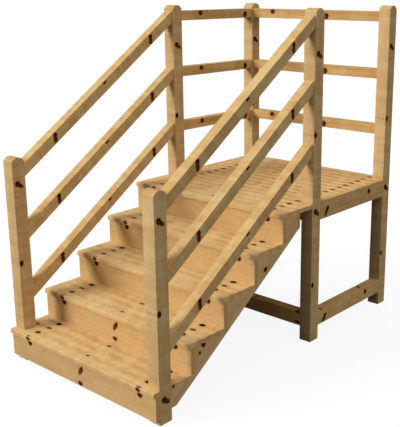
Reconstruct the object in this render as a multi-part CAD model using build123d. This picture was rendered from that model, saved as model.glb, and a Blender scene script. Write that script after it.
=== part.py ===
from build123d import *
import os

# Wooden deck stairs: a flight of five boarded steps climbs between two
# three-rail guards to a small railed platform on four posts.
#
# Millimetres. +X is to the right of someone climbing, +Y is the way they
# climb and +Z is up. The origin is the middle of the footprint, on the ground.

# ---------------------------------------------------------------- timber sizes
POST_WIDTH = 90      # square newels and platform posts
RAIL = 70            # square guard rails
BOARD = 30           # thickness of risers, treads, deck boards and rims
JOIST = 45           # thickness of stringers, joists and bridging
BRACE = 70           # thickness of the low stretchers
BRACE_HEIGHT = 100   # their height
CROWN = 30           # rise of the rounded post tops
BOARD_GAP = 1        # between neighbouring tread or deck boards

# -------------------------------------------------------------------- the steps
WIDTH = 1350         # over the posts, and of every tread and riser
STEPS = 5
RISE = 192
GOING = 281
NOSING = 14
FIRST_TREAD_TOP = 214
TREAD_BOARDS = 4
NOSING_ROUND = 6     # on the front edge of every tread
RISER_LIFT = 32      # the lowest riser ends this far above the ground
STRINGER_LIFT = 75   # and so does the foot of each stringer
STRINGER_TOE = 35    # length of the level cut under that foot
STAIR_SETBACK = 134  # from the back of the stair header to the platform posts

# ------------------------------------------------------------------ the platform
DECK_BOARDS = 12
RIM_DEPTH = 124      # the side rims, deck boards included
BRACE_LIFT = 100     # the low stretchers' undersides
MID_JOIST_SPAN = 430

# -------------------------------------------------------------------- the guards
RAILS = 3
RAIL_PITCH = 404     # deck to the first rail's top, and from rail top to rail top
POST_ABOVE_RAIL = 41
NEWEL_HEIGHT = 1345

# ------------------------------------------------------------------ worked out
STRIP = (NOSING + GOING + BOARD) / TREAD_BOARDS      # pitch of all the boards
DECK_TOP = FIRST_TREAD_TOP + (STEPS - 1) * RISE
DECK_UNDER = DECK_TOP - BOARD
FRAME_UNDER = DECK_TOP - RIM_DEPTH
POST_HEIGHT = DECK_TOP + RAILS * RAIL_PITCH + POST_ABOVE_RAIL
SLOPE = RISE / GOING

OUTER = WIDTH / 2                                    # outer faces of the posts
INNER = OUTER - POST_WIDTH                           # and their inner faces
LENGTH = NOSING + STEPS * GOING + BOARD + DECK_BOARDS * STRIP
RISER_1 = NOSING - LENGTH / 2                        # front of the lowest riser
NEWEL_FRONT = RISER_1 + BOARD
NEWEL_BACK = NEWEL_FRONT + POST_WIDTH
DECK_FRONT = RISER_1 + STEPS * GOING + BOARD         # front of the platform posts
DECK_BACK = LENGTH / 2
BAY_FRONT = DECK_FRONT + POST_WIDTH                  # the bay between the posts
BAY_BACK = DECK_BACK - POST_WIDTH
HEADER_BACK = DECK_FRONT - STAIR_SETBACK
STRINGER_BACK = HEADER_BACK - BOARD

RAIL_OUTER = OUTER - (POST_WIDTH - RAIL) / 2
RAIL_INNER = RAIL_OUTER - RAIL
SIDES = {"left": -1, "right": 1}
LEVELS = ("low", "mid", "top")


def block(x, y, z):
    """A square-edged timber between the given limits along X, Y and Z."""
    size = [high - low for low, high in (x, y, z)]
    middle = [(low + high) / 2 for low, high in (x, y, z)]
    return Pos(*middle) * Box(*size)


def across(near, far, side):
    """X limits of a piece on one side, given its distances from the middle."""
    return tuple(sorted((side * near, side * far)))


def slab(edges, x):
    """The closed outline of edges in Y and Z, made solid between the X limits."""
    face = make_face(Plane.YZ.offset(x[0]) * edges)
    return extrude(face, amount=x[1] - x[0], dir=(1, 0, 0))


def riser_front(step):
    return RISER_1 + (step - 1) * GOING


def tread_top(step):
    return FIRST_TREAD_TOP + (step - 1) * RISE


def boards(front, count, half_width, top):
    """Boards side by side along Y, split by narrow gaps centred on their pitch."""
    row = []
    for place in range(count):
        start = front + place * STRIP + (BOARD_GAP / 2 if place else 0)
        end = front + (place + 1) * STRIP - (BOARD_GAP / 2 if place < count - 1 else 0)
        row.append(block((-half_width, half_width), (start, end), (top - BOARD, top)))
    return row


def notch(pieces, cutters):
    """The pieces with the cutters' shapes taken out, one solid for each piece."""
    return Compound(children=[(piece - cutters).solid() for piece in pieces])


# ------------------------------------------------------------------------ steps
def riser(step):
    """The lowest riser hangs clear of the ground, the others stand on a tread."""
    foot = RISER_LIFT if step == 1 else tread_top(step - 1)
    front = riser_front(step)
    return block((-OUTER, OUTER), (front, front + BOARD), (foot, tread_top(step) - BOARD))


def tread(step):
    """Four boards, from the nosing to the back face of the riser behind."""
    top = tread_top(step)
    row = boards(riser_front(step) - NOSING, TREAD_BOARDS, OUTER, top)
    nose = row[0].edges().filter_by(Axis.X).group_by(Axis.Y)[0].sort_by(Axis.Z)[-1]
    row[0] = fillet(nose, NOSING_ROUND)
    newels = []
    if step == 1:
        newels = [
            block(across(INNER, OUTER, side), (NEWEL_FRONT, NEWEL_BACK), (0, top))
            for side in SIDES.values()
        ]
    return notch(row, newels)


def flight_under(y):
    """Height of the flight's sloping underside."""
    return STRINGER_LIFT + (y - NEWEL_BACK - STRINGER_TOE) * SLOPE


def stringer(side):
    """A sawtooth board under the treads, from the newel to the stair header."""
    toe = (NEWEL_BACK + STRINGER_TOE, STRINGER_LIFT)
    heel = (STRINGER_BACK, flight_under(STRINGER_BACK))
    outline = [(NEWEL_BACK, STRINGER_LIFT), toe, heel, (STRINGER_BACK, DECK_UNDER)]
    for step in range(STEPS, 1, -1):
        back_of_riser = riser_front(step) + BOARD
        outline.append((back_of_riser, tread_top(step) - BOARD))
        outline.append((back_of_riser, tread_top(step - 1) - BOARD))
    outline.append((NEWEL_BACK, FIRST_TREAD_TOP - BOARD))
    return slab(Polyline(*outline, close=True), across(OUTER - JOIST, OUTER, side))


def stair_header():
    """The cross board over the stringers' upper ends, planed to their slope below."""
    outline = [
        (STRINGER_BACK, DECK_UNDER),
        (STRINGER_BACK, flight_under(STRINGER_BACK)),
        (HEADER_BACK, flight_under(HEADER_BACK)),
        (HEADER_BACK, DECK_UNDER),
    ]
    return slab(Polyline(*outline, close=True), (-OUTER, OUTER))


def bridging(middle):
    """A short block from the stair header to the platform's front rim."""
    x = (middle - JOIST / 2, middle + JOIST / 2)
    return block(x, (HEADER_BACK, DECK_FRONT), (FRAME_UNDER, DECK_UNDER))


# ------------------------------------------------------------------------ posts
def post(side, front, height):
    """A square post with a barrel-shaped top, its axis along X."""
    back = front + POST_WIDTH
    shoulder = height - CROWN
    sides = Polyline((front, shoulder), (front, 0), (back, 0), (back, shoulder))
    crown = ThreePointArc((back, shoulder), (front + POST_WIDTH / 2, height), (front, shoulder))
    return slab(sides + crown, across(INNER, OUTER, side))


# --------------------------------------------------------------------- platform
def deck_boards():
    """Boards along X, cut round the posts and the tops of the side rims."""
    row = boards(DECK_FRONT, DECK_BOARDS, OUTER, DECK_TOP)
    z = (DECK_UNDER, DECK_TOP)
    cutters = []
    for side in SIDES.values():
        cutters.append(block(across(OUTER - BOARD, OUTER, side), (DECK_FRONT, DECK_BACK), z))
        cutters.append(block(across(INNER, OUTER, side), (DECK_FRONT, BAY_FRONT), z))
        cutters.append(block(across(INNER, OUTER, side), (BAY_BACK, DECK_BACK), z))
    return notch(row, cutters)


def side_rim(side):
    """Covers the ends of the deck boards, between two posts."""
    return block(across(OUTER - BOARD, OUTER, side), (BAY_FRONT, BAY_BACK), (FRAME_UNDER, DECK_TOP))


def cross_rim(front):
    """Carries the first or last deck board, between two posts."""
    return block((-INNER, INNER), (front, front + BOARD), (FRAME_UNDER, DECK_UNDER))


def outer_joist(side):
    """Carries the deck boards' ends, against the inside of a side rim."""
    x = across(OUTER - BOARD - JOIST, OUTER - BOARD, side)
    return block(x, (BAY_FRONT, BAY_BACK), (FRAME_UNDER, DECK_UNDER))


def mid_joist(side):
    """Carries the deck boards between the front rim and the back rim."""
    middle = side * MID_JOIST_SPAN / 2
    x = (middle - JOIST / 2, middle + JOIST / 2)
    return block(x, (DECK_FRONT + BOARD, DECK_BACK - BOARD), (FRAME_UNDER, DECK_UNDER))


def stretcher(x, y):
    """A low timber that ties two platform posts together."""
    return block(x, y, (BRACE_LIFT, BRACE_LIFT + BRACE_HEIGHT))


# ----------------------------------------------------------------------- guards
def rail_top(level):
    """Height of a platform rail's upper face, levels counted from 0."""
    return DECK_TOP + (level + 1) * RAIL_PITCH


def flight_rail(side, level):
    """Parallel to the flight, cut plumb against the newel and the platform post."""
    high = rail_top(level)
    low = high - (DECK_FRONT - NEWEL_BACK) * SLOPE
    plumb = RAIL * (1 + SLOPE ** 2) ** 0.5
    outline = [
        (NEWEL_BACK, low),
        (DECK_FRONT, high),
        (DECK_FRONT, high - plumb),
        (NEWEL_BACK, low - plumb),
    ]
    return slab(Polyline(*outline, close=True), across(RAIL_INNER, RAIL_OUTER, side))


def side_rail(level):
    """A level rail of the platform's left guard."""
    top = rail_top(level)
    x = across(RAIL_INNER, RAIL_OUTER, SIDES["left"])
    return block(x, (BAY_FRONT, BAY_BACK), (top - RAIL, top))


def back_rail(level):
    """A level rail of the platform's back guard."""
    top = rail_top(level)
    inset = (POST_WIDTH - RAIL) / 2
    return block((-INNER, INNER), (BAY_BACK + inset, DECK_BACK - inset), (top - RAIL, top))


# --------------------------------------------------------------------- assembly
nodes = {}
for step in range(1, STEPS + 1):
    nodes[f"riser_{step}"] = riser(step)
    nodes[f"tread_{step}"] = tread(step)

for name, side in SIDES.items():
    nodes[f"stringer_{name}"] = stringer(side)
    nodes[f"newel_{name}"] = post(side, NEWEL_FRONT, NEWEL_HEIGHT)
    nodes[f"post_front_{name}"] = post(side, DECK_FRONT, POST_HEIGHT)
    nodes[f"post_back_{name}"] = post(side, BAY_BACK, POST_HEIGHT)
    nodes[f"rim_{name}"] = side_rim(side)
    nodes[f"joist_outer_{name}"] = outer_joist(side)
    nodes[f"joist_mid_{name}"] = mid_joist(side)
    nodes[f"stretcher_{name}"] = stretcher(across(OUTER - BRACE, OUTER, side), (BAY_FRONT, BAY_BACK))
    nodes[f"bridging_{name}"] = bridging(side * (INNER - JOIST))
    for level, height in enumerate(LEVELS):
        nodes[f"flight_rail_{name}_{height}"] = flight_rail(side, level)

for level, height in enumerate(LEVELS):
    nodes[f"side_rail_{height}"] = side_rail(level)
    nodes[f"back_rail_{height}"] = back_rail(level)

nodes["stair_header"] = stair_header()
nodes["bridging_middle"] = bridging(0)
nodes["deck_boards"] = deck_boards()
nodes["rim_front"] = cross_rim(DECK_FRONT)
nodes["rim_back"] = cross_rim(DECK_BACK - BOARD)
nodes["stretcher_front"] = stretcher((-INNER, INNER), (DECK_FRONT, DECK_FRONT + BRACE))

os.makedirs("parts", exist_ok=True)
for name, shape in nodes.items():
    export_step(shape, f"parts/{name}.step")
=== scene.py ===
# %% [markdown]
# # Wooden deck stairs
# Five boarded steps climb between two guards of three rails to a small platform on four
# posts. Everything is planed knotty pine, so this lesson is about timber: how an edge is
# eased, how grain follows each piece whichever way it lies, and how knots pass through it.
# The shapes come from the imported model, loaded here as a fixed frame in metres.

from math import atan2, degrees, radians

import bmesh
import bpy
import numpy as np
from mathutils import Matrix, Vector


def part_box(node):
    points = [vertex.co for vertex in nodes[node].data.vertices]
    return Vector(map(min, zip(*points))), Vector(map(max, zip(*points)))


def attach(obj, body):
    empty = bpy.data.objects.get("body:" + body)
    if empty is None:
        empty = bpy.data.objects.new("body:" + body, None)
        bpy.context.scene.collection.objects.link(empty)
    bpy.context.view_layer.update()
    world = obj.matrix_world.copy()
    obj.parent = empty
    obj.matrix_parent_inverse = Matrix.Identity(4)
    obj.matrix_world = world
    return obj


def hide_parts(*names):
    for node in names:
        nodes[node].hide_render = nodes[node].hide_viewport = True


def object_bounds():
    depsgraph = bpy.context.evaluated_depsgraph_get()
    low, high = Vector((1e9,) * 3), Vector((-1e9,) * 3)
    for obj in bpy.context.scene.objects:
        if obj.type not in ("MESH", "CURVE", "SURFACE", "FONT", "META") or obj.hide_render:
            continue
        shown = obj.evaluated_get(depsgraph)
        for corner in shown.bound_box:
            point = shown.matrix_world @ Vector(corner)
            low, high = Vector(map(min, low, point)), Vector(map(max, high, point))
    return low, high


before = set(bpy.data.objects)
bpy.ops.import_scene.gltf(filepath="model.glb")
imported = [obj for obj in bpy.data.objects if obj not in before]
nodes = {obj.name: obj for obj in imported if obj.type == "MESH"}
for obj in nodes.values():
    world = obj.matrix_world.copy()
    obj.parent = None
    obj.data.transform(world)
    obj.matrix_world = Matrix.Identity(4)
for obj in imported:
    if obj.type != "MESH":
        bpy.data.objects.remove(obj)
cad_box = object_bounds()
low, high = ([round(v, 3) for v in spot] for spot in cad_box)
print(len(nodes), "timbers, from", low, "to", high)

# %% [markdown]
# ## How each timber lies
# Grain runs along a timber, so a finish has to know where along, across and through its
# own piece of wood each point is. A Mapping node could turn one pattern for each piece,
# but 46 pieces would need 46 materials. Here each kind of timber instead gets a starting
# corner and three directions, and the places measured from them are stored on its mesh
# as an attribute, so one material serves a rail whether it is level or climbs.

# %% The directions that timbers run in
RIGHT, BACK, UP = Vector((1, 0, 0)), Vector((0, 1, 0)), Vector((0, 0, 1))


def corner(name, x=0, y=0, z=0):
    """A corner of a node's box, where 0 is its low side and 1 its high side."""
    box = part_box(name)
    return Vector((box[x].x, box[y].y, box[z].z))


step = corner("tread_2") - corner("tread_1")
CLIMB = Vector((0, step.y, step.z)).normalized()
SQUARE = Vector((0, step.z, -step.y)).normalized()
print("the flight climbs at", round(degrees(atan2(step.z, step.y)), 1), "degrees")

# %% [markdown]
# Timbers of one kind share a list of knots, measured from where each timber starts. A
# newel starts a little above its top, so its knots come nearer to its crown than a post's.
# The back rails start beside the left post, and treads, risers and deck boards start in
# the middle of the flight, because their knots keep the same rows on every step.

# %% Start and directions of each timber
NEWEL_START = 0.114        # above the top of a newel
STRETCHER_START = 0.010    # above the top of a side stretcher
BACK_RAIL_START = -0.592   # to the left of the platform's middle
SIDE_TIMBERS = ("side_rail", "joist", "bridging", "rim_left", "rim_right")


def lie(name):
    """Where a timber's measuring starts, and the ways along, across and through it."""
    top = corner(name, z=1)
    middle = Vector((0, top.y, top.z))
    if name.startswith("post"):
        return top, -UP, BACK, RIGHT
    if name.startswith("newel"):
        return top + NEWEL_START * UP, -UP, BACK, RIGHT
    if name.startswith("flight_rail"):
        top.z -= (corner(name, y=1).y - top.y) * step.z / step.y
        return top, CLIMB, SQUARE, RIGHT
    if name.startswith("stringer"):
        return corner(name), CLIMB, SQUARE, RIGHT
    if name in ("stretcher_left", "stretcher_right"):
        return top + STRETCHER_START * UP, BACK, -UP, RIGHT
    if name.startswith("back_rail"):
        return Vector((BACK_RAIL_START, top.y, top.z)), RIGHT, -UP, BACK
    if name.startswith(SIDE_TIMBERS):
        return top, BACK, -UP, RIGHT
    if name.startswith(("tread", "deck")):
        return middle, RIGHT, BACK, -UP
    return middle, RIGHT, -UP, BACK


for name in ("newel_left", "flight_rail_left_top", "tread_1"):
    print(name, "is measured from", [round(v, 3) for v in lie(name)[0]])

# %% [markdown]
# ## Eased edges
# Planed timber never has knife edges. A pass of sandpaper leaves each arris, the edge
# where two faces meet, with a radius of a millimetre or two, which catches the light and
# draws a fine line round the piece. A Bevel modifier could add it, but it would cut
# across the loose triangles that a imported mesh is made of. So a copy of each node is
# merged, its flat faces are made whole, and the bevel operator rounds only the outside
# corners. The crowns of the posts stay smooth.

# %% Round a timber's outside corners
PLAIN_ARRIS = 0.0015
ARRIS = {"tread": 0.001, "deck": 0.001, "riser": 0.001}
FLAT, CROWN = radians(1), radians(30)


def eased(name):
    """A merged copy of a node as a bmesh, with its outside edges rounded."""
    bm = bmesh.new()
    bm.from_mesh(nodes[name].data)
    bmesh.ops.remove_doubles(bm, verts=bm.verts, dist=1e-5)
    bmesh.ops.dissolve_limit(bm, angle_limit=FLAT, verts=bm.verts, edges=bm.edges)
    bmesh.ops.connect_verts_concave(bm, faces=bm.faces)
    outside = []
    for edge in bm.edges:
        bend = edge.calc_face_angle(0)
        if FLAT < bend < CROWN:
            for face in edge.link_faces:
                face.smooth = True
        elif bend >= CROWN and edge.is_convex:
            outside.append(edge)
    radius = ARRIS.get(name.split("_")[0], PLAIN_ARRIS)
    rounded = bmesh.ops.bevel(bm, geom=outside, offset=radius, offset_type="OFFSET", segments=3,
                              profile=0.5, affect="EDGES", clamp_overlap=True, material=-1)
    for face in rounded["faces"]:
        face.smooth = True
    return bm


trial = eased("newel_left")
print("a newel has", len(trial.faces), "faces once its edges are eased")
trial.free()

# %% [markdown]
# ## Measurements kept on the mesh
# Two attributes go onto each mesh. "timber" holds how far along, across and through the
# wood a point is. "board" holds three more things that a finish needs: a number that
# gives each timber its own grain and moves it a little from board to board, a 1 on end
# grain, and a 1 on the eased edges, where handling polishes the wood.

# %% Which board a point is on
BOARDS = {"tread": 4, "deck": 12}
KNOT_REPEAT = 2            # the deck's knots come back every two boards
low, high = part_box("tread_1")
BOARD_WIDTH = (high.y - low.y) / BOARDS["tread"]


def board_of(name, y):
    """The board that each point is on, and where that board's list of knots starts."""
    kind = name.split("_")[0]
    if kind not in BOARDS:
        return 0 * y, 0 * y
    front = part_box(name)[0].y
    board = np.clip(np.floor((y - front) / BOARD_WIDTH), 0, BOARDS[kind] - 1)
    if kind == "tread":
        return board, 0 * y
    return board, np.floor(board / KNOT_REPEAT) * KNOT_REPEAT * BOARD_WIDTH


print("each board is", round(BOARD_WIDTH * 1000, 2), "mm wide")

# %% Store the attributes
TIMBER_SEED, BOARD_SEED = 0.618, 0.004
END_GRAIN = 0.7            # a face that looks along the grain by this much is an end


def keep_measurements(mesh, name, number, edges):
    """Writes where each corner lies in its timber, and what kind of surface it is on."""
    start, along, across, through = lie(name)
    points = np.array([vertex.co for vertex in mesh.vertices])
    places = (points - np.array(start)) @ np.array([along, across, through]).T
    board, front = board_of(name, np.array([vertex.co.y for vertex in mesh.vertices]))
    places[:, 1] -= front
    timber = mesh.attributes.new("timber", "FLOAT_VECTOR", "POINT")
    timber.data.foreach_set("vector", places.ravel())
    surface = np.zeros((len(mesh.loops), 3))
    for face in mesh.polygons:
        end = abs(face.normal.dot(along)) > END_GRAIN
        for loop in face.loop_indices:
            seed = TIMBER_SEED * number + BOARD_SEED * board[mesh.loops[loop].vertex_index]
            surface[loop] = (seed % 1, end, edges[face.index])
    kept = mesh.attributes.new("board", "FLOAT_VECTOR", "CORNER")
    kept.data.foreach_set("vector", surface.ravel())


# %% Make the finished timbers
timbers = {}
for number, name in enumerate(sorted(nodes)):
    bm = eased(name)
    mesh = bpy.data.meshes.new("planed_" + name)
    edges = [face.smooth for face in bm.faces]
    bm.to_mesh(mesh)
    bm.free()
    keep_measurements(mesh, name, number, edges)
    piece = bpy.data.objects.new("planed_" + name, mesh)
    bpy.context.collection.objects.link(piece)
    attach(piece, "root")
    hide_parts(name)
    timbers[name] = piece
faces = sum(len(piece.data.polygons) for piece in timbers.values())
print(len(timbers), "eased timbers with", faces, "faces")

# %% [markdown]
# ## Writing shader nodes
# A shader is a tree of small boxes wired together. These short helpers add a box, fill
# its inputs with numbers or wires, and start a group that several materials share.

# %% Helpers for shader trees
def fill(tree, made, inputs):
    """Sets each named input of a shader node, or wires it up."""
    for socket, value in dict(inputs).items():
        if isinstance(value, bpy.types.NodeSocket):
            tree.links.new(value, made.inputs[socket])
        else:
            made.inputs[socket].default_value = value
    return made


def add(tree, kind, inputs=(), **settings):
    """Adds one shader node, with its settings and its inputs filled."""
    made = tree.nodes.new("ShaderNode" + kind)
    for setting, value in settings.items():
        setattr(made, setting, value)
    return fill(tree, made, inputs)


def math(tree, operation, *values, clamp=False):
    """One sum."""
    return add(tree, "Math", enumerate(values), operation=operation, use_clamp=clamp).outputs[0]


def vectors(tree, operation, *values):
    """One sum of vectors, or the length of one."""
    made = add(tree, "VectorMath", enumerate(values), operation=operation)
    return made.outputs["Value" if operation == "LENGTH" else "Vector"]


def group(name, inputs, outputs):
    """Starts a node group, and gives its tree, what comes in and what goes out."""
    tree = bpy.data.node_groups.new(name, "ShaderNodeTree")
    for label, kind in inputs.items():
        tree.interface.new_socket(label, in_out="INPUT", socket_type="NodeSocket" + kind)
    for label, kind in outputs.items():
        tree.interface.new_socket(label, in_out="OUTPUT", socket_type="NodeSocket" + kind)
    given, result = tree.nodes.new("NodeGroupInput"), tree.nodes.new("NodeGroupOutput")
    return tree, given.outputs, result.inputs


print("helpers:", ", ".join(helper.__name__ for helper in (fill, add, math, vectors, group)))

# %% Helpers for masks and colours
def between(tree, value, low, high, at_low=0.0, at_high=1.0):
    """Eases from one value to another as the input goes from low to high."""
    sockets = {"Value": value, "From Min": low, "From Max": high,
               "To Min": at_low, "To Max": at_high}
    return add(tree, "MapRange", sockets, interpolation_type="SMOOTHSTEP").outputs[0]


def mixed(tree, share, first, second, way="MIX"):
    """Two colours mixed."""
    sockets = {0: share, 6: first, 7: second}
    return add(tree, "Mix", sockets, data_type="RGBA", blend_type=way).outputs[2]


def cloud(tree, place, stretch, detail=2.0):
    """Soft noise from 0 to 1, drawn out by stretching the places it reads."""
    spread = vectors(tree, "MULTIPLY", place, stretch)
    sockets = {"Vector": spread, "Scale": 1.0, "Detail": detail, "Roughness": 0.55}
    return add(tree, "TexNoise", sockets).outputs["Fac"]


def tone(red, green, blue):
    """A colour as a paint chart gives it, 0 to 255, turned into light."""
    light = [v / 12.92 if v < 0.04045 else ((v + 0.055) / 1.055) ** 2.4
             for v in (red / 255, green / 255, blue / 255)]
    return (*light, 1.0)


print("pale pine is", [round(v, 3) for v in tone(231, 197, 141)[:3]])

# %% [markdown]
# ## Knots
# A knot is the stub of a branch that the log grew round. Where the saw crosses it there
# is often a brown heart inside a nearly black ring of bark, with a stain of resin round
# it. Each one is a stretched ball inside the timber, which leans as its branch did, and a
# big knot is two of them that touch. The group measures how far a point is from the
# middle, as a share of the knot's size, and keeps the nearest distance, the darkest bark
# and the brownest heart found so far. The heart is measured from a place off the middle,
# so the bark is thick on one side and thin on the other.

# %% Group: one knot
FOUND = {"Nearest": "Float", "Bark": "Float", "Heart": "Float"}
HEART_OFFSET = (0.3, 0.12, 0.0)   # as shares of the knot's size
tree, given, result = group(
    "knot",
    {"Place": "Vector", "Centre": "Vector", "Size": "Vector",
     "Lean": "Float", "Dark": "Float", "Brown": "Float", **FOUND},
    FOUND)
offset = vectors(tree, "SUBTRACT", given["Place"], given["Centre"])
turned = add(tree, "VectorRotate", {"Vector": offset, "Angle": given["Lean"]},
             rotation_type="Z_AXIS").outputs[0]
share = vectors(tree, "DIVIDE", turned, given["Size"])
near = vectors(tree, "LENGTH", share)
tree.links.new(math(tree, "SMOOTH_MIN", near, given["Nearest"], 0.25), result["Nearest"])
bark = between(tree, near, 0.78, 1.3, given["Dark"], 0.0)
tree.links.new(math(tree, "MAXIMUM", bark, given["Bark"]), result["Bark"])
middle = vectors(tree, "LENGTH", vectors(tree, "SUBTRACT", share, HEART_OFFSET))
heart = between(tree, middle, 0.15, 0.8, given["Brown"], 0.0)
tree.links.new(math(tree, "MAXIMUM", heart, given["Heart"]), result["Heart"])
knot_group = tree
print("the knot group has", len(tree.nodes), "nodes")

# %% [markdown]
# ## Pine
# Pine changes along its length as well as across it. It has long pale and golden
# streaks, broad blotches of cream and peach, growth rings that the saw has cut at a
# slant, and fine fibres. All of them but the rings are clouds of noise, drawn out along
# the timber. Each timber reads them from a place of its own, so no two are alike.

# %% Group: planed pine, and the clouds it is made from
tree, given, result = group(
    "planed_pine",
    {"Timber": "Vector", "Board": "Vector", "Knot": "Float", "Bark": "Float", "Heart": "Float",
     "Pale": "Color", "Golden": "Color", "Late": "Color", "Ring Gap": "Float",
     "Rings": "Float", "Slant": "Float", "Streaks": "Float", "Patches": "Float",
     "Patch Counts": "Vector", "Joints": "Float"},
    {"Color": "Color", "Roughness": "Float", "Height": "Float"})
timber = add(tree, "SeparateXYZ", {0: given["Timber"]}).outputs
seed, end_grain, edge = add(tree, "SeparateXYZ", {0: given["Board"]}).outputs
shift = add(tree, "CombineXYZ", {axis: math(tree, "MULTIPLY", seed, spread)
                                 for axis, spread in enumerate((7.3, 3.1, 5.7))}).outputs[0]
place = vectors(tree, "ADD", given["Timber"], shift)
elsewhere = vectors(tree, "ADD", place, (4.7, 2.9, 8.1))
streak = cloud(tree, place, (1.1, 26, 26), 4.0)
thread = cloud(tree, place, (3.5, 150, 150), 3.0)
fibre = cloud(tree, place, (14, 900, 900))
patch = cloud(tree, place, given["Patch Counts"])
peach = cloud(tree, elsewhere, given["Patch Counts"])
mottle = cloud(tree, place, (16, 30, 30))
print("the clouds use", len(tree.nodes), "nodes")

# %% [markdown]
# The rings are true circles round the heart of the log, which lies just outside the
# timber, so they show as lines on a face and as arcs on end grain without being drawn
# twice. Near a knot they are pushed aside, as the tree grew them.

# %% Growth rings
LOG_HEART = (0, 0.035, 0.13)   # its place across and through the timber
heart = vectors(tree, "MULTIPLY", given["Timber"], (0, 1, 1))
heart = vectors(tree, "SUBTRACT", heart, LOG_HEART)
waver = math(tree, "MULTIPLY", streak, 0.03)
radius = math(tree, "ADD", vectors(tree, "LENGTH", heart), waver)
pushed = math(tree, "ADD", 0.5, math(tree, "POWER", given["Knot"], 2.0))
pushed = math(tree, "DIVIDE", 0.006, pushed)
pushed = math(tree, "ADD", pushed, math(tree, "MULTIPLY", seed, 0.05))
radius = math(tree, "ADD", radius, pushed)
radius = math(tree, "MULTIPLY_ADD", timber[0], given["Slant"], radius)
ring = math(tree, "FRACT", math(tree, "DIVIDE", radius, given["Ring Gap"]))
ring = math(tree, "POWER", math(tree, "PINGPONG", ring, 0.8), 2.0)
print("with its rings the group has", len(tree.nodes), "nodes")

# %% [markdown]
# Colour is laid on in thin coats, as a painter grains a door: cream and golden wood
# first, then a blush of peach, the rings, and the fibres.

# %% Coats of colour
PEACH = (1.0, 0.90, 0.84, 1.0)
golden = math(tree, "MULTIPLY", between(tree, streak, 0.36, 0.62), given["Streaks"])
blotch = math(tree, "MULTIPLY", between(tree, patch, 0.42, 0.58), given["Patches"])
golden = math(tree, "ADD", golden, blotch)
golden = math(tree, "ADD", golden, between(tree, thread, 0.3, 0.7, -0.15, 0.15), clamp=True)
colour = mixed(tree, golden, given["Pale"], given["Golden"])
blush = math(tree, "MULTIPLY", between(tree, peach, 0.46, 0.6), given["Patches"])
colour = mixed(tree, blush, colour, PEACH, "MULTIPLY")
colour = mixed(tree, math(tree, "MULTIPLY", ring, given["Rings"]), colour, given["Late"])
shade = math(tree, "ADD", between(tree, fibre, 0.25, 0.75, -0.05, 0.04),
             between(tree, mottle, 0.3, 0.7, 0.965, 1.03))
shade = add(tree, "CombineColor", {0: shade, 1: shade, 2: shade}).outputs[0]
colour = mixed(tree, 1.0, colour, shade, "MULTIPLY")
print("with its colour the group has", len(tree.nodes), "nodes")

# %% [markdown]
# Boards laid side by side are darker towards their joints, where feet bring dirt and
# brooms miss it, and paler on the eased edges, where hands and shoes rub. End grain
# drinks more finish, so it is a touch darker and warmer.

# %% Dirt, wear and end grain
DIRT = (0.74, 0.66, 0.56, 1.0)
THIRSTY = tone(244, 238, 230)
from_joint = math(tree, "PINGPONG", timber[1], BOARD_WIDTH / 2)
joint = between(tree, from_joint, 0.0, BOARD_WIDTH / 2, 1.0, 0.0)
uneven = math(tree, "MULTIPLY", given["Joints"], between(tree, peach, 0.38, 0.62, 0.5, 1.4))
colour = mixed(tree, math(tree, "MULTIPLY", joint, uneven), colour, DIRT, "MULTIPLY")
worn = math(tree, "MULTIPLY", edge, between(tree, thread, 0.35, 0.6, 0.05, 0.3))
colour = mixed(tree, worn, colour, given["Pale"])
colour = mixed(tree, end_grain, colour, mixed(tree, 0.75, colour, THIRSTY, "MULTIPLY"))
print("with its wear the group has", len(tree.nodes), "nodes")

# %% [markdown]
# Knots go on last, over all the coats: a stain of resin round each one, then its bark,
# then its brown heart. Bark is a little smoother than the wood and lies a little lower,
# and the late wood of each ring stands up, because sanding wears the soft wood first.

# %% Knots, roughness and relief
RESIN, BARK, BRANCH_HEART = tone(136, 72, 14), tone(52, 13, 0), tone(130, 78, 28)
bark = given["Bark"]
stain = between(tree, given["Knot"], 0.95, 1.6, 0.85, 0.0)
colour = mixed(tree, stain, colour, RESIN)
colour = mixed(tree, bark, colour, BARK)
colour = mixed(tree, given["Heart"], colour, BRANCH_HEART)
tree.links.new(colour, result["Color"])

rough = between(tree, thread, 0.3, 0.7, 0.56, 0.7)
rough = math(tree, "SUBTRACT", rough, math(tree, "MULTIPLY", bark, 0.1))
rough = math(tree, "SUBTRACT", rough, math(tree, "MULTIPLY", edge, 0.06))
tree.links.new(rough, result["Roughness"])
relief = math(tree, "ADD", math(tree, "MULTIPLY", ring, 0.5), math(tree, "MULTIPLY", fibre, 0.5))
relief = math(tree, "SUBTRACT", relief, math(tree, "MULTIPLY", bark, 0.6))
tree.links.new(relief, result["Height"])
pine_group = tree
print("the pine group has", len(tree.nodes), "nodes")

# %% [markdown]
# ## One finish for each kind of timber
# All of the wood is the same species, but posts, rails, boards and framing were sawn
# from different stock, so each kind has its own knots and its own balance of pale and
# golden wood. A clear matt finish leaves hardly any sheen. The outline of each knot
# wobbles a little, because no branch is a perfect round.

# %% Build a pine material
SHEEN = 0.006
WOBBLE = 0.010             # metres, at most, that a knot's outline strays
RELIEF = 0.0003            # metres between the hills and hollows of the grain


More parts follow.
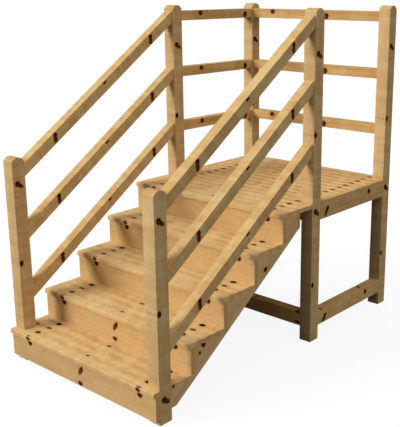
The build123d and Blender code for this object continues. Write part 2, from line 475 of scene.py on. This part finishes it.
def pine(name, knots, pale, golden, late, rings, streaks, patches, patch_counts,
         ring_gap=0.007, slant=0.0, joints=0.0):
    """A knotty pine finish as a material."""
    material = bpy.data.materials.new(name)
    material.use_nodes = True
    tree = material.node_tree
    timber = add(tree, "Attribute", attribute_name="timber").outputs["Vector"]
    board = add(tree, "Attribute", attribute_name="board").outputs["Vector"]
    stray = add(tree, "TexNoise", {"Vector": timber, "Scale": 60.0, "Detail": 4.0})
    stray = vectors(tree, "SUBTRACT", stray.outputs["Color"], (0.5, 0.5, 0.5))
    stray = vectors(tree, "MULTIPLY", stray, (WOBBLE, WOBBLE, WOBBLE))
    place = vectors(tree, "ADD", timber, stray)
    found = {"Nearest": 9.0, "Bark": 0.0, "Heart": 0.0}
    for centre, size, lean, dark, brown in knots:
        knot = add(tree, "Group", {
            "Place": place, "Centre": [v / 1000 for v in centre],
            "Size": [v / 1000 for v in size], "Lean": -radians(lean),
            "Dark": dark, "Brown": brown, **found}, node_tree=knot_group).outputs
        found = {label: knot[label] for label in FOUND}
    wood = add(tree, "Group", {
        "Timber": timber, "Board": board, "Knot": found["Nearest"], "Bark": found["Bark"],
        "Heart": found["Heart"], "Pale": tone(*pale), "Golden": tone(*golden),
        "Late": tone(*late), "Ring Gap": ring_gap, "Rings": rings, "Slant": slant,
        "Streaks": streaks, "Patches": patches, "Patch Counts": patch_counts,
        "Joints": joints}, node_tree=pine_group).outputs
    bump = add(tree, "Bump", {"Height": wood["Height"], "Strength": 0.5, "Distance": RELIEF})
    fill(tree, tree.nodes["Principled BSDF"], {
        "Base Color": wood["Color"], "Roughness": wood["Roughness"],
        "Normal": bump.outputs["Normal"], "Specular IOR Level": SHEEN})
    print(name, "has", len(knots), "knots")
    return material


# %% [markdown]
# Knots are listed in millimetres along, across and through the timber, each with its
# size the same three ways and how far it leans, in degrees. A very long third size is a
# knot that goes right through. The last two numbers say how dark its bark is and how
# brown its heart, from 0 to 1.

# %% Knots of posts and rails
THROUGH = 9000
POST_KNOTS = [
    ((280, 32, 45), (16, 16, THROUGH), 0, 1, 0.5),
    ((294, 53, 45), (19, 11, THROUGH), 57, 0.95, 0.5),
    ((796, 17, 45), (17, 12, THROUGH), 0, 1, 0),
    ((1310, 33, 45), (16, 17, THROUGH), 0, 1, 0.5),
    ((1325, 54, 45), (20, 12, THROUGH), 57, 0.95, 0.5),
    ((1822, 17, 45), (17, 12, THROUGH), 0, 1, 0)]
CLIMBING_KNOTS = [
    ((291, 18, 35), (14, 12, THROUGH), 0, 1, 0.3),
    ((275, 43, 35), (22, 13, THROUGH), 124, 0.85, 0.4),
    ((801, 14, 35), (8, 7, THROUGH), 0, 1, 0),
    ((815, 14, 35), (7, 6, THROUGH), 0, 0.9, 0),
    ((1321, 20, 35), (14, 13, THROUGH), 0, 1, 0.3),
    ((1305, 45, 35), (21, 13, THROUGH), 124, 0.82, 0.4)]
LEVEL_KNOTS = [
    ((208, 20, 35), (18, 15, THROUGH), 0, 0.95, 0.7),
    ((717, 43, 35), (20, 18, THROUGH), 120, 0.95, 0.6)]
print("posts and rails have", len(POST_KNOTS + CLIMBING_KNOTS + LEVEL_KNOTS), "knots to share")

# %% Knots of risers, treads and deck
KNOT_ROWS = (-488, 545)    # two rows of knots cross every board, left and right
RISER_KNOTS = [
    ((-487, 20, 15), (17, 17, THROUGH), 0, 0.92, 0),
    ((546, 20, 15), (17, 17, THROUGH), 0, 0.92, 0),
    ((21, 48, 15), (30, 13, THROUGH), 123, 0.85, 0.7),
    ((12, 134, 15), (19, 12, THROUGH), 0, 0.9, 0.3)]
TREAD_ROW = [
    ((0, 15), (17, 12, 10), 0.8), ((9, 2), (16, 6, 5), 0.3), ((80, 4), (18, 14, 14), 0.95),
    ((164, 4), (19, 10, 14), 0.75), ((244, 4), (20, 15, 15), 0.95)]
TREAD_KNOTS = [((x, *spot), size, 0, dark, 0) for x in KNOT_ROWS for spot, size, dark in TREAD_ROW]
TREAD_KNOTS += [((22, 73, 2), (13, 7, 8), 15, 0.8, 0), ((22, 238, 2), (15, 8, 8), 15, 0.7, 0)]
FIRST_TREAD_KNOTS = TREAD_KNOTS + [
    ((-598, 154, 2), (15, 9, 8), 10, 0.85, 0), ((677, 148, 11), (8, 9, 9), 0, 0.85, 0)]
DECK_KNOTS = [((x, y, 4), (18, width, 14), 0, 0.95, 0)
              for x in KNOT_ROWS for y, width in ((11, 11), (92, 15))]
DECK_KNOTS += [((22, 74, 2), (13, 7, 8), 15, 0.45, 0)]
print("a tread has", len(TREAD_KNOTS), "knots")

# %% Knots of the framing
STRINGER_KNOTS = [
    ((382, -93, 20), (14, 16, THROUGH), 0, 1, 0),
    ((332, -76, 20), (9, 10, THROUGH), 0, 0.9, 0),
    ((1018, -22, 20), (15, 12, THROUGH), 0, 1, 0),
    ((91, -107, 20), (14, 13, THROUGH), 0, 0.9, 0.3)]
RIM_KNOTS = [
    ((86, 60, 35), (13, 12, THROUGH), 0, 1, 0.2),
    ((71, 84, 35), (28, 12, THROUGH), 122, 0.95, 0.2),
    ((603, 48, 35), (16, 13, THROUGH), 0, 1, 0.3),
    ((597, 33, 35), (9, 10, THROUGH), 0, 0.8, 0)]
STRETCHER_KNOTS = RIM_KNOTS + [
    ((566, 10, 32), (12, 8, 13), 0, 0.8, 0),
    ((47, 11, 57), (10, 16, 13), 0, 0.85, 0)]
CROSS_KNOTS = [
    ((569, 5, 35), (19, 5, THROUGH), 0, 1, 0),
    ((569, 78, 35), (24, 8, THROUGH), 0, 1, 0),
    ((-130, 40, 35), (15, 12, THROUGH), 0, 0.9, 0.5)]
print("a stringer has", len(STRINGER_KNOTS), "knots, and a side rim", len(RIM_KNOTS))

# %% [markdown]
# Each finish gives its pale, golden and late wood as a paint chart would, and then how
# strongly rings, streaks and patches show. The patch counts say how many patches there
# are to the metre along, across and through, so a small number makes a large patch. The
# ring gap is in metres, the slant is how steeply the saw cut across the rings, and the
# last number is how dark boards are at their joints.

# %% Finishes of posts and rails
finishes = {
    "post": pine("post_pine", POST_KNOTS, (213, 183, 132), (199, 161, 106), (180, 140, 88),
                 rings=0.25, streaks=0.35, patches=0.6, patch_counts=(16, 3, 3)),
    "climbing": pine("climbing_rail_pine", CLIMBING_KNOTS,
                     (218, 188, 133), (200, 161, 104), (182, 140, 84), ring_gap=0.006,
                     rings=0.25, streaks=0.35, patches=0.55, patch_counts=(16, 5, 5)),
    "level": pine("level_rail_pine", LEVEL_KNOTS,
                  (218, 184, 126), (202, 156, 96), (184, 136, 78), ring_gap=0.006,
                  rings=0.5, streaks=0.6, patches=0.4, patch_counts=(7, 5, 5)),
}

# %% Finishes of risers, treads and deck
TREAD_WOOD = {
    "pale": (231, 197, 141), "golden": (216, 176, 116), "late": (200, 152, 92),
    "rings": 0.1, "streaks": 0.1, "patches": 0.5, "patch_counts": (12, 4, 4), "joints": 0.5}
finishes |= {
    "riser": pine("riser_pine", RISER_KNOTS, (211, 175, 120), (199, 156, 101), (188, 144, 88),
                  ring_gap=0.013, slant=0.25, rings=0.25, streaks=0.2, patches=0.25,
                  patch_counts=(4, 10, 3)),
    "tread": pine("tread_pine", TREAD_KNOTS, **TREAD_WOOD),
    "first_tread": pine("first_tread_pine", FIRST_TREAD_KNOTS, **TREAD_WOOD),
    "deck": pine("deck_pine", DECK_KNOTS, (234, 197, 139), (219, 173, 111), (198, 150, 90),
                 rings=0.12, streaks=0.2, patches=0.45, patch_counts=(12, 4, 4), joints=0.8),
}

# %% Finishes of the framing
SLANTED = {"rings": 0.5, "slant": 0.06, "streaks": 0.5, "patches": 0.5, "patch_counts": (7, 7, 7)}
finishes |= {
    "stringer": pine("stringer_pine", STRINGER_KNOTS,
                     (224, 192, 140), (210, 170, 114), (180, 138, 80), ring_gap=0.008,
                     rings=0.4, streaks=0.6, patches=0.4, patch_counts=(7, 6, 6)),
    "rim": pine("rim_pine", RIM_KNOTS, (214, 180, 126), (198, 156, 98), (176, 132, 76),
                **SLANTED),
    "stretcher": pine("stretcher_pine", STRETCHER_KNOTS,
                      (226, 190, 132), (210, 166, 104), (178, 134, 78), **SLANTED),
    "cross": pine("cross_pine", CROSS_KNOTS, (226, 180, 116), (208, 160, 96), (178, 132, 72),
                  rings=0.5, streaks=0.6, patches=0.3, patch_counts=(7, 5, 5)),
}

# %% [markdown]
# The first start of a name that fits decides a timber's finish, and its line also names the slot
# that it stands for. What no start fits, such as a joist or the header, runs across or hides under
# the deck, and takes the last line.

# %% Give each timber its finish
KINDS = [
    ("post", "post", "post_pine"), ("newel", "post", "post_pine"),
    ("flight_rail", "climbing", "rail_pine"), ("side_rail", "level", "rail_pine"),
    ("back_rail", "level", "rail_pine"), ("riser", "riser", "board_pine"),
    ("tread_1", "first_tread", "board_pine"), ("tread", "tread", "board_pine"),
    ("deck", "deck", "board_pine"), ("stringer", "stringer", "frame_pine"),
    ("rim_left", "rim", "frame_pine"), ("rim_right", "rim", "frame_pine"),
    ("stretcher_left", "stretcher", "frame_pine"),
    ("stretcher_right", "stretcher", "frame_pine"), ("", "cross", "frame_pine")]
for name, piece in timbers.items():
    start, finish, slot = next(kind for kind in KINDS if name.startswith(kind[0]))
    piece.data.materials.append(finishes[finish])
print("every timber has a finish:", all(len(t.data.materials) == 1 for t in timbers.values()))

# %% [markdown]
# ## Floor
# The stairs stand on plain pale paper. Lit evenly it is white, and it keeps the soft
# shadow under the posts. For the camera the paper adds a little light of its own, so
# that it meets the background without a line, and no extra light falls on the timber.

# %% Floor
PAPER_WIDTH = 60
PAPER_COLOUR, PAPER_GLOW = (0.12, 0.12, 0.12, 1), 0.9
bm = bmesh.new()
bmesh.ops.create_grid(bm, x_segments=1, y_segments=1, size=PAPER_WIDTH / 2)
mesh = bpy.data.meshes.new("paper_floor")
bm.to_mesh(mesh)
bm.free()
floor = bpy.data.objects.new("paper_floor", mesh)
bpy.context.collection.objects.link(floor)
paper = bpy.data.materials.new("paper")
paper.use_nodes = True
tree = paper.node_tree
matt = fill(tree, tree.nodes["Principled BSDF"], {
    "Base Color": PAPER_COLOUR, "Roughness": 0.9, "Specular IOR Level": 0.0})
seen = add(tree, "LightPath").outputs["Is Camera Ray"]
glow = add(tree, "Emission", {"Color": (1, 1, 1, 1), "Strength": PAPER_GLOW}).outputs[0]
lit = add(tree, "AddShader", {0: matt.outputs[0], 1: glow}).outputs[0]
paper_look = add(tree, "MixShader", {0: seen, 1: matt.outputs[0], 2: lit}).outputs[0]
fill(tree, tree.nodes["Material Output"], {"Surface": paper_look})
mesh.materials.append(paper)
print("the paper is", PAPER_WIDTH, "metres wide")

# %% [markdown]
# ## Light
# A broad lamp stands high in front and to the left, so fronts and tops are bright and
# each rail lays a blurred shadow on the steps. A much wider lamp overhead stands for a
# bright ceiling, and a faint one low on the right keeps the right faces in soft shade.
# An even surround fills what is left, and shows as white behind the stairs.

# %% Lamps
def shine(name, strength, width, towards):
    """A distant lamp, as wide in the sky as it is given in degrees."""
    lamp = bpy.data.lights.new(name, "SUN")
    lamp.energy = strength
    lamp.angle = radians(width)
    holder = bpy.data.objects.new(name, lamp)
    holder.rotation_euler = Vector(towards).to_track_quat("-Z", "Y").to_euler()
    bpy.context.collection.objects.link(holder)
    print(name, "shines at", strength)


shine("broad_lamp", 2.52, 26, (0.575, 1.0, -0.52))
shine("sky_lamp", 1.6, 110, (0.0, 0.1, -1.0))
shine("fill_lamp", 0.6, 50, (-0.92, -0.04, -0.3))

# %% Surround
SURROUND = 0.045
world = bpy.data.worlds.new("surround")
bpy.context.scene.world = world
world.use_nodes = True
tree = world.node_tree
path = add(tree, "LightPath").outputs
white = math(tree, "MAXIMUM", path["Is Glossy Ray"], path["Is Transmission Ray"])
white = math(tree, "MAXIMUM", path["Is Camera Ray"], white)
strength = math(tree, "MULTIPLY_ADD", white, 1.0 - SURROUND, SURROUND)
fill(tree, tree.nodes["Background"], {"Color": (1, 1, 1, 1), "Strength": strength})
print("the surround lights the timber at", SURROUND)

# %% [markdown]
# ## Camera
# Eye level is above the platform, in front and well to the right, so both guards, every
# tread and the platform's open side are in view. The shift only frames the stairs.

# %% Camera
camera = bpy.data.cameras.new("camera")
camera.lens = 66.94
camera.sensor_width = 36
camera.shift_x = -0.12637
camera.shift_y = -0.04541
camera_object = bpy.data.objects.new("camera", camera)
camera_object.location = (3.59792, -3.8565, 2.363)
camera_object.rotation_euler = (radians(75.3548646), radians(-0.038588), radians(39.9219136))
bpy.context.collection.objects.link(camera_object)
bpy.context.scene.camera = camera_object
bpy.context.scene.view_settings.view_transform = "Standard"
away = (camera_object.location - Vector((0, 0, 1))).length
print("the camera is", round(away, 2), "metres away")
